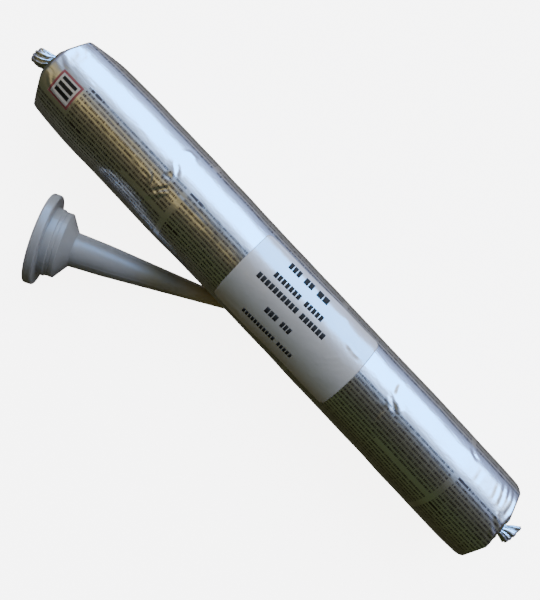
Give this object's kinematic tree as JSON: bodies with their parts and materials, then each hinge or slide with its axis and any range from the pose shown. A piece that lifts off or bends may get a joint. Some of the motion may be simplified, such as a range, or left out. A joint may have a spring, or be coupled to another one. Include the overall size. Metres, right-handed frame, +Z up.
{
  "type": "sealant sausage pack with nozzle",
  "caption": "Foil tube of sealant, gathered into a wire clip at each end, with a label round its middle and a tapered dispensing nozzle lying beside it.",
  "frame": {"origin": "middle of the flat that the pack rests on, under the middle of its length", "axes": "+X along the pack from its tufted end to its fanned end, +Z up, the nozzle on the -Y side"},
  "size_m": [0.3493, 0.1142, 0.0482],
  "materials": {
    "foil": "satin printed laminate",
    "clip_wire": "bare drawn wire",
    "label": "semi-gloss coated",
    "nozzle_plastic": "translucent natural"
  },
  "bodies": {
    "root": {"foil_pack": "foil", "left_end_clip": "clip_wire", "right_end_clip": "clip_wire", "label": "label", "nozzle": "nozzle_plastic"}
  },
  "joints": []
}
